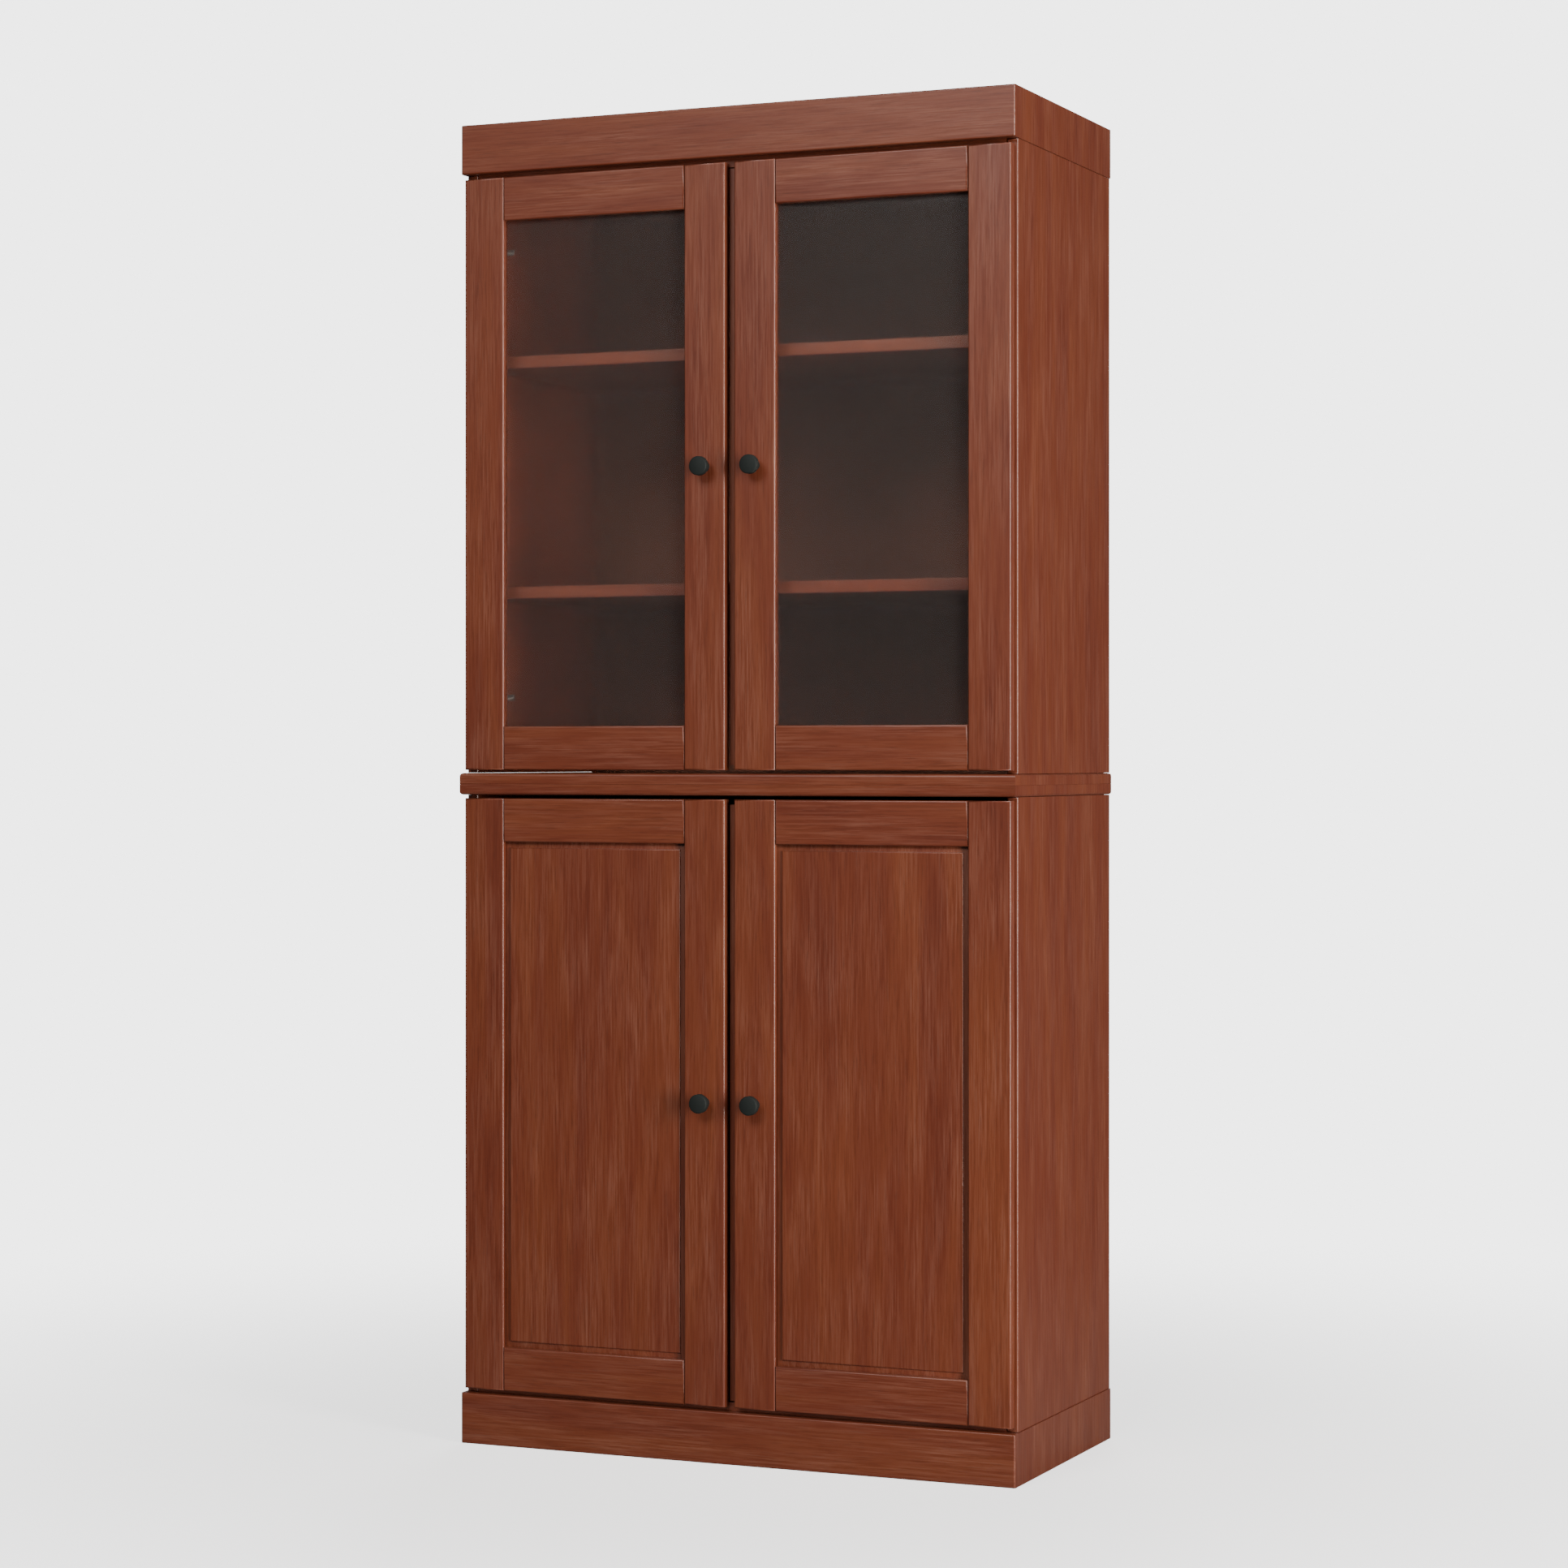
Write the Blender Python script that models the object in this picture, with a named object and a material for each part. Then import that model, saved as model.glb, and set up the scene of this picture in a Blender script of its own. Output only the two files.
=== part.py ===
"""A tall china cabinet: two stacked cases, a plinth, a crown and four overlay doors.

Metres, +X to the right, +Y to the back, +Z up. The origin is on the floor, in the middle of
the cabinet's box, knobs included.
"""
import itertools
import math

import bmesh
import bpy
from mathutils import Matrix, Vector

# Overall sizes
HEIGHT = 1.8288
CROWN_WIDTH = 0.8160
CROWN_DEPTH = 0.3914
CROWN_HEIGHT = 0.0683
PLINTH_HEIGHT = 0.0702
BELT_WIDTH = 0.8184
BELT_LIP = 0.0022
CASE_WIDTH = 0.8130
KNOB_PROJECTION = 0.0222

# Boards and clearances
BOARD = 0.0160
BELT_BOARD = 0.0150
BELT_TOP = 0.9300
BACK_PANEL = 0.0040
GROOVE_DEPTH = 0.0080
FLOOR_STEP = 0.0048
TOP_STEP = 0.0033
GAP = 0.0003
EDGE_ROUND = 0.0012
BELT_ROUND = 0.0030
PAST_FACE = 0.0010
WELL_PAST = 0.0100

# Doors
DOOR_THICKNESS = 0.0150
DOOR_TO_CASE = 0.0010
DOOR_WIDTH = 0.3952
DOOR_GAP = 0.0140
FRAME_WIDTH = 0.0600
UPPER_DOOR_BOTTOM = 0.9346
UPPER_DOOR_TOP = 1.7530
LOWER_DOOR_BOTTOM = 0.0769
LOWER_DOOR_TOP = 0.8951
REBATE_WIDTH = 0.0080
REBATE_DEPTH = 0.0090
GLASS_THICKNESS = 0.0030
TONGUE_FRONT = 0.0085
TONGUE_BACK = 0.0125
TONGUE_LENGTH = 0.0085
FIELD_DEPTH = 0.0050
FIELD_INSET = 0.0080

# Dust strips behind the gap between two doors
STRIP_THICKNESS = 0.0060
STRIP_LOW_X = -0.0055
STRIP_HIGH_X = 0.0220
STRIP_SHORTER = 0.0070

# Knobs
KNOB_RADIUS = 0.0130
KNOB_STEM_RADIUS = 0.0065
KNOB_TO_CENTRE = 0.0370
KNOB_SEGMENTS = 28
KNOB_EDGE = 0.0015
KNOB_FOOT = 0.0020
# Shares of the knob's length, and of its rounded edge
KNOB_NECK_END = 0.40
KNOB_DISC_BACK = 0.56
KNOB_RIM_BACK = 0.63
KNOB_ROUND_STEP = 0.3

# Shelves and their pins
SHELF_SETBACK = 0.0240
UPPER_SHELF_CENTRES = (1.1810, 1.5010)
LOWER_SHELF_CENTRE = 0.4700
PIN_RADIUS = 0.0025
PIN_IN_PANEL = 0.0075
PIN_FROM_EDGE = 0.0450
PIN_SEGMENTS = 8

# Concealed hinges
HINGE_FROM_DOOR_END = 0.1000
HINGE_AXIS_INSET = 0.0020
CUP_RADIUS = 0.0175
CUP_INSET = 0.0225
CUP_DEPTH = 0.0105
CUP_WALL = 0.0010
CUP_SEGMENTS = 20
LINK_PIVOT_INSET = 0.0250
LINK_PIVOT_BEHIND = 0.0030
LINK_LENGTH = 0.03725
LINK_REST_ANGLE = math.radians(28.75)
LINK_HALF_WIDTH = 0.0016
LINK_EYE_RADIUS = 0.0028
LINK_HALF_HEIGHT = 0.0040
LINK_PIN_RADIUS = 0.0012
LINK_SEGMENTS = 12
ARM_HALF_HEIGHT = 0.0066
ARM_SLOT_HALF = 0.0044
ARM_THICKNESS = 0.0065
ARM_LENGTH = 0.0600
ARM_NOSE_END = 0.0160
ARM_NOSE_HALF = 0.0025
ARM_SLOT_END = 0.0078
PLATE_THICKNESS = 0.0025
PLATE_HALF_HEIGHT = 0.0220
PLATE_START = 0.0260
PLATE_END = 0.0560

# Worked out from the sizes above
BACK_Y = (CROWN_DEPTH + KNOB_PROJECTION) / 2
FRONT_Y = BACK_Y - CROWN_DEPTH
DOOR_BACK_Y = FRONT_Y + DOOR_THICKNESS
CASE_FRONT_Y = DOOR_BACK_Y + DOOR_TO_CASE
CASE_HALF = CASE_WIDTH / 2
INNER_HALF = CASE_HALF - BOARD
CROWN_BOTTOM = HEIGHT - CROWN_HEIGHT
BELT_MIDDLE = BELT_TOP - BELT_BOARD
BELT_BOTTOM = BELT_MIDDLE - BELT_BOARD
DOOR_EDGE_X = DOOR_GAP / 2 + DOOR_WIDTH


def clear_scene():
    for old in list(bpy.data.objects):
        bpy.data.objects.remove(old, do_unlink=True)


def finish(name, colour, roughness, metallic=0.0, transmission=0.0):
    """A plain Principled finish."""
    material = bpy.data.materials.new(name)
    material.use_nodes = True
    shader = material.node_tree.nodes["Principled BSDF"]
    shader.inputs["Base Color"].default_value = (*colour, 1.0)
    shader.inputs["Roughness"].default_value = roughness
    shader.inputs["Metallic"].default_value = metallic
    shader.inputs["Transmission Weight"].default_value = transmission
    return material


def add_piece(name, mesh, material, parent=None, smooth=False):
    """Turn a bmesh in world coordinates into a named object, under its parent empty."""
    bmesh.ops.recalc_face_normals(mesh, faces=mesh.faces)
    data = bpy.data.meshes.new(name)
    mesh.to_mesh(data)
    mesh.free()
    if smooth:
        data.shade_smooth()
        data.set_sharp_from_angle(angle=math.radians(35))
    data.materials.append(material)
    piece = bpy.data.objects.new(name, data)
    bpy.context.scene.collection.objects.link(piece)
    if parent is not None:
        data.transform(Matrix.Translation(-parent.location))
        piece.parent = parent
    return piece


def add_empty(name, place):
    """An empty on a joint's axis, which carries the pieces that move with it."""
    empty = bpy.data.objects.new(name, None)
    empty.location = place
    bpy.context.scene.collection.objects.link(empty)
    return empty


def block_solid(boxes, cuts=()):
    """A closed solid: all that lies in one of the boxes and in none of the cuts."""
    stops = []
    for axis in range(3):
        values = {round(corner[axis], 7) for corner in itertools.chain.from_iterable((*boxes, *cuts))}
        stops.append(sorted(values))

    def holds(box, point):
        return all(box[0][axis] < point[axis] < box[1][axis] for axis in range(3))

    def is_solid(cell):
        if any(not 0 <= cell[axis] < len(stops[axis]) - 1 for axis in range(3)):
            return False
        middle = [(stops[axis][cell[axis]] + stops[axis][cell[axis] + 1]) / 2 for axis in range(3)]
        return any(holds(box, middle) for box in boxes) and not any(holds(cut, middle) for cut in cuts)

    mesh = bmesh.new()
    corners = {}

    def corner_at(index):
        if index not in corners:
            corners[index] = mesh.verts.new([stops[axis][index[axis]] for axis in range(3)])
        return corners[index]

    for cell in itertools.product(*(range(len(values) - 1) for values in stops)):
        if not is_solid(cell):
            continue
        for axis, side in itertools.product(range(3), (0, 1)):
            neighbour = list(cell)
            neighbour[axis] += 2 * side - 1
            if is_solid(neighbour):
                continue
            across, along = (axis + 1) % 3, (axis + 2) % 3
            loop = []
            for step_across, step_along in ((0, 0), (1, 0), (1, 1), (0, 1)):
                index = list(cell)
                index[axis] += side
                index[across] += step_across
                index[along] += step_along
                loop.append(corner_at(tuple(index)))
            mesh.faces.new(loop if side else loop[::-1])
    bmesh.ops.dissolve_limit(mesh, angle_limit=math.radians(1), verts=mesh.verts, edges=mesh.edges)
    return mesh


def carved_block(low, high, cuts=()):
    """A closed block from corner low to corner high, less the boxes listed in cuts."""
    return block_solid([(low, high)], cuts)


def plan_prism(outline, z_low, z_high):
    """A closed prism standing on an outline of (x, y) points."""
    mesh = bmesh.new()
    base = mesh.faces.new([mesh.verts.new((x, y, z_low)) for x, y in outline])
    lifted = bmesh.ops.extrude_face_region(mesh, geom=[base])
    tops = [part for part in lifted["geom"] if isinstance(part, bmesh.types.BMVert)]
    bmesh.ops.translate(mesh, verts=tops, vec=(0, 0, z_high - z_low))
    bmesh.ops.recalc_face_normals(mesh, faces=mesh.faces)
    return mesh


def bridged_rings(rings):
    """A closed solid through rings of points, each ring with the same number of points."""
    mesh = bmesh.new()
    loops = [[mesh.verts.new(point) for point in ring] for ring in rings]
    count = len(loops[0])
    for first, second in zip(loops, loops[1:]):
        for index in range(count):
            following = (index + 1) % count
            mesh.faces.new((first[index], first[following], second[following], second[index]))
    mesh.faces.new(loops[0][::-1])
    mesh.faces.new(loops[-1])
    return mesh


def turned(profile, centre, axis, segments):
    """A turned solid: profile is a list of (radius, distance along the axis) from centre."""
    along = Vector(axis)
    side = along.orthogonal().normalized()
    other = along.cross(side)
    rings = []
    for radius, distance in profile:
        ring = []
        for step in range(segments):
            angle = 2 * math.pi * step / segments
            spoke = side * math.cos(angle) + other * math.sin(angle)
            ring.append(Vector(centre) + along * distance + spoke * radius)
        rings.append(ring)
    return bridged_rings(rings)


def soften(mesh, width, is_shown, segments=2):
    """Round the outward edges whose middle point passes the test is_shown."""
    chosen = []
    for edge in mesh.edges:
        middle = (edge.verts[0].co + edge.verts[1].co) / 2
        if edge.is_convex and edge.calc_face_angle() > math.radians(30) and is_shown(middle):
            chosen.append(edge)
    bmesh.ops.bevel(mesh, geom=chosen, offset=width, segments=segments, profile=0.5,
                    affect="EDGES", clamp_overlap=True)
    return mesh


def near(value, target):
    return abs(value - target) < 0.00005


def boolean(piece, tools, operation):
    """Cut the tools from a piece, or add them to it, and keep only the result."""
    for tool in tools:
        tool.hide_render = True
        tool.display_type = "WIRE"
        change = piece.modifiers.new("change", "BOOLEAN")
        change.object = tool
        change.operation = operation
        change.solver = "EXACT"
    bpy.context.view_layer.update()
    evaluated = piece.evaluated_get(bpy.context.evaluated_depsgraph_get())
    result = bpy.data.meshes.new_from_object(evaluated)
    piece.modifiers.clear()
    piece.data = result
    for tool in tools:
        bpy.data.objects.remove(tool, do_unlink=True)


def bored(piece, holes):
    """Bore round holes in a piece: each is a (centre, axis, radius, depth, segments)."""
    tools = []
    for centre, axis, radius, depth, segments in holes:
        drill = turned([(radius, -depth), (radius, depth)], centre, axis, segments)
        tools.append(add_piece("drill", drill, piece.data.materials[0]))
    boolean(piece, tools, "DIFFERENCE")


def skirt(name, z_low, z_high, rail_low, rail_high, wood):
    """A plinth or crown: front and side boards mitred at the front corners, and a back rail."""
    half = CROWN_WIDTH / 2
    inner = half - BOARD
    inner_y = FRONT_Y + BOARD
    front = [(-half + GAP, FRONT_Y), (half - GAP, FRONT_Y), (inner - GAP, inner_y), (-inner + GAP, inner_y)]
    mesh = plan_prism(front, z_low, z_high)
    soften(mesh, EDGE_ROUND, lambda at: near(at.y, FRONT_Y) and abs(at.x) < half - WELL_PAST)
    add_piece(name + "_front", mesh, wood)
    for side, label in ((-1, "left"), (1, "right")):
        outline = [(half, FRONT_Y + GAP), (half, BACK_Y), (inner, BACK_Y), (inner, inner_y + GAP)]
        mesh = plan_prism([(side * x, y) for x, y in outline], z_low, z_high)
        soften(mesh, EDGE_ROUND, lambda at: near(abs(at.x), half) and at.y > FRONT_Y + WELL_PAST)
        add_piece(name + "_side_" + label, mesh, wood)
    low = (-inner + GAP, BACK_Y - BOARD, rail_low)
    high = (inner - GAP, BACK_Y, rail_high)
    return add_piece(name + "_back", carved_block(low, high), wood)


def side_panel(name, side, z_low, z_high, wood):
    """A case side, rebated at the back for the back panel."""
    rebate_y = BACK_Y - BACK_PANEL - GAP
    rebate_x = INNER_HALF + GROOVE_DEPTH
    x_pair = sorted((side * INNER_HALF, side * CASE_HALF))
    cut_pair = sorted((side * (INNER_HALF - PAST_FACE), side * rebate_x))
    cut = ((cut_pair[0], rebate_y, z_low - WELL_PAST), (cut_pair[1], BACK_Y + WELL_PAST, z_high + WELL_PAST))
    mesh = carved_block((x_pair[0], CASE_FRONT_Y, z_low), (x_pair[1], BACK_Y, z_high), [cut])
    soften(mesh, EDGE_ROUND / 2, lambda at: near(at.y, CASE_FRONT_Y) and near(abs(at.x), CASE_HALF), 1)
    return add_piece(name, mesh, wood)


def inner_board(name, z_low, z_high, wood, front_y=CASE_FRONT_Y + GAP):
    """A horizontal board that lies between the two case sides."""
    inside = INNER_HALF - GAP
    low = (-inside, front_y, z_low)
    high = (inside, BACK_Y - BACK_PANEL - 2 * GAP, z_high)
    mesh = carved_block(low, high)
    soften(mesh, EDGE_ROUND / 2, lambda at: near(at.y, front_y), 1)
    return add_piece(name, mesh, wood)


def belt_board(name, z_low, z_high, wood, round_z):
    """A board as wide as the cabinet, with its outer edge rounded on one side."""
    half = BELT_WIDTH / 2
    front_y = FRONT_Y - BELT_LIP
    mesh = carved_block((-half, front_y, z_low), (half, BACK_Y, z_high))
    soften(mesh, BELT_ROUND, lambda at: near(at.z, round_z) and at.y < BACK_Y - PAST_FACE, 3)
    return add_piece(name, mesh, wood)


def back_panel(name, z_low, z_high, board):
    reach = INNER_HALF + GROOVE_DEPTH - GAP
    low = (-reach, BACK_Y - BACK_PANEL, z_low)
    high = (reach, BACK_Y - GAP, z_high)
    return add_piece(name, carved_block(low, high), board)


def pin_places(centre_z):
    """Where the four pins under a shelf go: (side, y, z)."""
    z = centre_z - BOARD / 2 - PIN_RADIUS - GAP
    front = CASE_FRONT_Y + SHELF_SETBACK + PIN_FROM_EDGE
    back = BACK_Y - BACK_PANEL - PIN_FROM_EDGE
    return [(side, y, z) for side in (-1, 1) for y in (front, back)]


def pin_holes(side, centres):
    holes = []
    for centre_z in centres:
        for place_side, y, z in pin_places(centre_z):
            if place_side == side:
                at = (side * INNER_HALF, y, z)
                holes.append((at, (side, 0, 0), PIN_RADIUS + GAP, PIN_IN_PANEL + GAP, PIN_SEGMENTS))
    return holes


def shelf(name, centre_z, wood):
    front_y = CASE_FRONT_Y + SHELF_SETBACK
    return inner_board(name, centre_z - BOARD / 2, centre_z + BOARD / 2, wood, front_y)


class Door:
    """One door: its place, its hinge axis and the box coordinates of its members."""

    def __init__(self, name, side, z_low, z_high):
        self.name = name
        self.side = side
        self.z_low = z_low
        self.z_high = z_high
        self.x_outer = side * DOOR_EDGE_X
        axis_x = side * (DOOR_EDGE_X - HINGE_AXIS_INSET)
        axis_y = DOOR_BACK_Y - DOOR_THICKNESS / 2
        self.empty = add_empty(name + "_axis", (axis_x, axis_y, (z_low + z_high) / 2))

    def x(self, inset):
        """The X of a point this far in from the door's outer edge."""
        return self.side * (DOOR_EDGE_X - inset)

    def box(self, inset_a, inset_b, depth_a, depth_b, z_a, z_b):
        """Corners of a box between two insets, two depths behind the face and two heights."""
        xs = sorted((self.x(inset_a), self.x(inset_b)))
        return (xs[0], FRONT_Y + depth_a, z_a), (xs[1], FRONT_Y + depth_b, z_b)

    def hinge_heights(self):
        return (self.z_low + HINGE_FROM_DOOR_END, self.z_high - HINGE_FROM_DOOR_END)


def frame_member(door, part, low, high, cuts, wood):
    mesh = carved_block(low, high, cuts)
    front = FRONT_Y
    back = FRONT_Y + DOOR_THICKNESS
    soften(mesh, EDGE_ROUND, lambda at: near(at.y, front))
    soften(mesh, EDGE_ROUND / 2, lambda at: near(at.y, back), 1)
    return add_piece(door.name + "_" + part, mesh, wood, door.empty)


def door_frame(door, wood, groove):
    """Two stiles and two rails. groove is (front depth, back depth, width) of the panel's groove."""
    groove_front, groove_back, groove_width = groove
    back = DOOR_THICKNESS + PAST_FACE
    margin = WELL_PAST
    far = DOOR_WIDTH
    for part, inset, inner in (("outer_stile", 0, FRAME_WIDTH), ("inner_stile", far, far - FRAME_WIDTH)):
        toward = 1 if inner > inset else -1
        low, high = door.box(inset, inner, 0, DOOR_THICKNESS, door.z_low, door.z_high)
        cut = door.box(inner - toward * groove_width, inner + toward * margin, groove_front, groove_back,
                       door.z_low - margin, door.z_high + margin)
        stile = frame_member(door, part, low, high, [cut], wood)
        if part == "outer_stile":
            centre_x = door.x(CUP_INSET)
            bored_holes = []
            for z in door.hinge_heights():
                at = (centre_x, DOOR_BACK_Y, z)
                bored_holes.append((at, (0, 1, 0), CUP_RADIUS + GAP, CUP_DEPTH + GAP, CUP_SEGMENTS))
            bored(stile, bored_holes)
    reach = groove_width - GAP
    start = FRAME_WIDTH - reach
    end = far - FRAME_WIDTH + reach
    shoulder_front = groove_front + GAP
    shoulder_back = min(groove_back - GAP, DOOR_THICKNESS)
    for part, z_low, z_high, inner_z in (
            ("bottom_rail", door.z_low, door.z_low + FRAME_WIDTH, door.z_low + FRAME_WIDTH),
            ("top_rail", door.z_high - FRAME_WIDTH, door.z_high, door.z_high - FRAME_WIDTH)):
        toward = 1 if part == "bottom_rail" else -1
        low, high = door.box(start, end, 0, DOOR_THICKNESS, z_low, z_high)
        z_pair = sorted((inner_z - toward * groove_width, inner_z + toward * margin))
        cuts = [door.box(start - margin, end + margin, groove_front, groove_back, *z_pair)]
        for inset_a, inset_b in ((start - margin, FRAME_WIDTH + GAP), (far - FRAME_WIDTH - GAP, end + margin)):
            cuts.append(door.box(inset_a, inset_b, -PAST_FACE, shoulder_front,
                                 z_low - margin, z_high + margin))
            if shoulder_back < DOOR_THICKNESS:
                cuts.append(door.box(inset_a, inset_b, shoulder_back, back, z_low - margin, z_high + margin))
        frame_member(door, part, low, high, cuts, wood)


def raised_panel(door, wood):
    """A panel with a tongue all round, a sloping margin and a raised flat field."""
    opening = FRAME_WIDTH - TONGUE_LENGTH
    slope = 0.0030

    def ring(inset, depth):
        left, right = door.x(inset), door.x(DOOR_WIDTH - inset)
        low, high = door.z_low + inset, door.z_high - inset
        y = FRONT_Y + depth
        return [(left, y, low), (right, y, low), (right, y, high), (left, y, high)]

    rings = [ring(opening, TONGUE_BACK),
             ring(opening, TONGUE_FRONT),
             ring(FRAME_WIDTH + FIELD_INSET - slope, TONGUE_FRONT),
             ring(FRAME_WIDTH + FIELD_INSET, FIELD_DEPTH + 0.0005),
             ring(FRAME_WIDTH + FIELD_INSET + slope / 3, FIELD_DEPTH)]
    return add_piece(door.name + "_panel", bridged_rings(rings), wood, door.empty)


def pane(door, glass):
    """The glass in the rebate at the back of the frame."""
    inset = FRAME_WIDTH - REBATE_WIDTH + 2 * GAP
    front = REBATE_DEPTH + GAP
    low, high = door.box(inset, DOOR_WIDTH - inset, front, front + GLASS_THICKNESS,
                         door.z_low + inset, door.z_high - inset)
    return add_piece(door.name + "_glass", carved_block(low, high), glass, door.empty)


def knob(door, metal):
    """A round knob with a flat face on a short stem."""
    centre = (door.side * KNOB_TO_CENTRE, FRONT_Y - GAP, (door.z_low + door.z_high) / 2)
    length = KNOB_PROJECTION - GAP
    edge = KNOB_EDGE
    profile = [(KNOB_STEM_RADIUS + edge, 0),
               (KNOB_STEM_RADIUS, KNOB_FOOT),
               (KNOB_STEM_RADIUS, length * KNOB_NECK_END),
               (KNOB_RADIUS - edge, length * KNOB_DISC_BACK),
               (KNOB_RADIUS, length * KNOB_RIM_BACK),
               (KNOB_RADIUS, length - edge),
               (KNOB_RADIUS - edge * KNOB_ROUND_STEP, length - edge * KNOB_ROUND_STEP),
               (KNOB_RADIUS - edge, length)]
    return add_piece(door.name + "_knob", turned(profile, centre, (0, -1, 0), KNOB_SEGMENTS), metal,
                     door.empty, smooth=True)


def dust_strip(door, wood):
    low = (STRIP_LOW_X, DOOR_BACK_Y + GAP, door.z_low + STRIP_SHORTER)
    high = (STRIP_HIGH_X, DOOR_BACK_Y + STRIP_THICKNESS, door.z_high - STRIP_SHORTER)
    return add_piece(door.name + "_dust_strip", carved_block(low, high), wood, door.empty)


def hinge_cup(door, metal):
    """The pressed cup of the door's top hinge, in the back of the outer stile."""
    mouth = (door.x(CUP_INSET), DOOR_BACK_Y, door.hinge_heights()[1])
    profile = [(CUP_RADIUS, -CUP_DEPTH),
               (CUP_RADIUS, 0),
               (CUP_RADIUS - CUP_WALL, 0),
               (CUP_RADIUS - CUP_WALL, CUP_WALL - CUP_DEPTH)]
    cup = turned(profile, mouth, (0, 1, 0), CUP_SEGMENTS)
    return add_piece(door.name + "_hinge_cup", cup, metal, door.empty, smooth=True)


def link_pivot(door):
    z = door.hinge_heights()[1]
    return Vector((door.x(LINK_PIVOT_INSET), DOOR_BACK_Y + LINK_PIVOT_BEHIND, z))


def hinge_link(door, metal):
    """The link of the top hinge: a flat bar with an eye round its pin. It lies folded at rest."""
    pivot = link_pivot(door)
    axis_empty = add_empty(door.name + "_link_axis", pivot)
    tip = Vector((math.cos(LINK_REST_ANGLE), math.sin(LINK_REST_ANGLE))) * LINK_LENGTH
    outline = []
    for centre, radius, first, last, steps in ((Vector((0, 0)), LINK_EYE_RADIUS, 0.6, 1.4, 8),
                                               (tip, LINK_HALF_WIDTH, -0.5, 0.5, 4)):
        for step in range(steps + 1):
            angle = LINK_REST_ANGLE + math.pi * (first + (last - first) * step / steps)
            point = centre + Vector((math.cos(angle), math.sin(angle))) * radius
            outline.append((pivot.x - door.side * point.x, pivot.y + point.y))
    bar = plan_prism(outline, pivot.z - LINK_HALF_HEIGHT, pivot.z + LINK_HALF_HEIGHT)
    link = add_piece(door.name + "_hinge_link", bar, metal, axis_empty)
    bored(link, [(pivot, (0, 0, 1), LINK_PIN_RADIUS + GAP, 2 * LINK_HALF_HEIGHT, LINK_SEGMENTS)])
    return link


def hinge_arm(door, metal):
    """The arm of the top hinge on its mounting plate, with the pin that the link turns on."""
    z = door.hinge_heights()[1]
    plate_inner = DOOR_EDGE_X - INNER_HALF + GAP
    arm_inner = plate_inner + PLATE_THICKNESS
    nose_low = LINK_PIVOT_INSET - ARM_NOSE_HALF
    nose_high = LINK_PIVOT_INSET + ARM_NOSE_HALF
    nose_tip = LINK_PIVOT_BEHIND - ARM_NOSE_HALF

    def part_box(inset_a, inset_b, behind_a, behind_b, half_height):
        return door.box(inset_a, inset_b, DOOR_THICKNESS + behind_a, DOOR_THICKNESS + behind_b,
                        z - half_height, z + half_height)

    plate = part_box(plate_inner, arm_inner, PLATE_START, PLATE_END, PLATE_HALF_HEIGHT)
    bar = part_box(arm_inner, arm_inner + ARM_THICKNESS, ARM_SLOT_END, ARM_LENGTH, ARM_HALF_HEIGHT)
    crank = part_box(arm_inner, nose_high, ARM_SLOT_END, ARM_NOSE_END, ARM_HALF_HEIGHT)
    nose = part_box(nose_low, nose_high, nose_tip, ARM_NOSE_END, ARM_HALF_HEIGHT)
    slot = part_box(nose_low - PAST_FACE, nose_high + PAST_FACE, nose_tip - PAST_FACE, ARM_SLOT_END,
                    ARM_SLOT_HALF)
    arm = add_piece(door.name + "_hinge_arm", block_solid([plate, bar, crank, nose], [slot]), metal)
    reach = (ARM_SLOT_HALF + ARM_HALF_HEIGHT) / 2
    pin = turned([(LINK_PIN_RADIUS, -reach), (LINK_PIN_RADIUS, reach)], link_pivot(door), (0, 0, 1),
                 LINK_SEGMENTS)
    boolean(arm, [add_piece("pin", pin, metal)], "UNION")
    return arm


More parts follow.
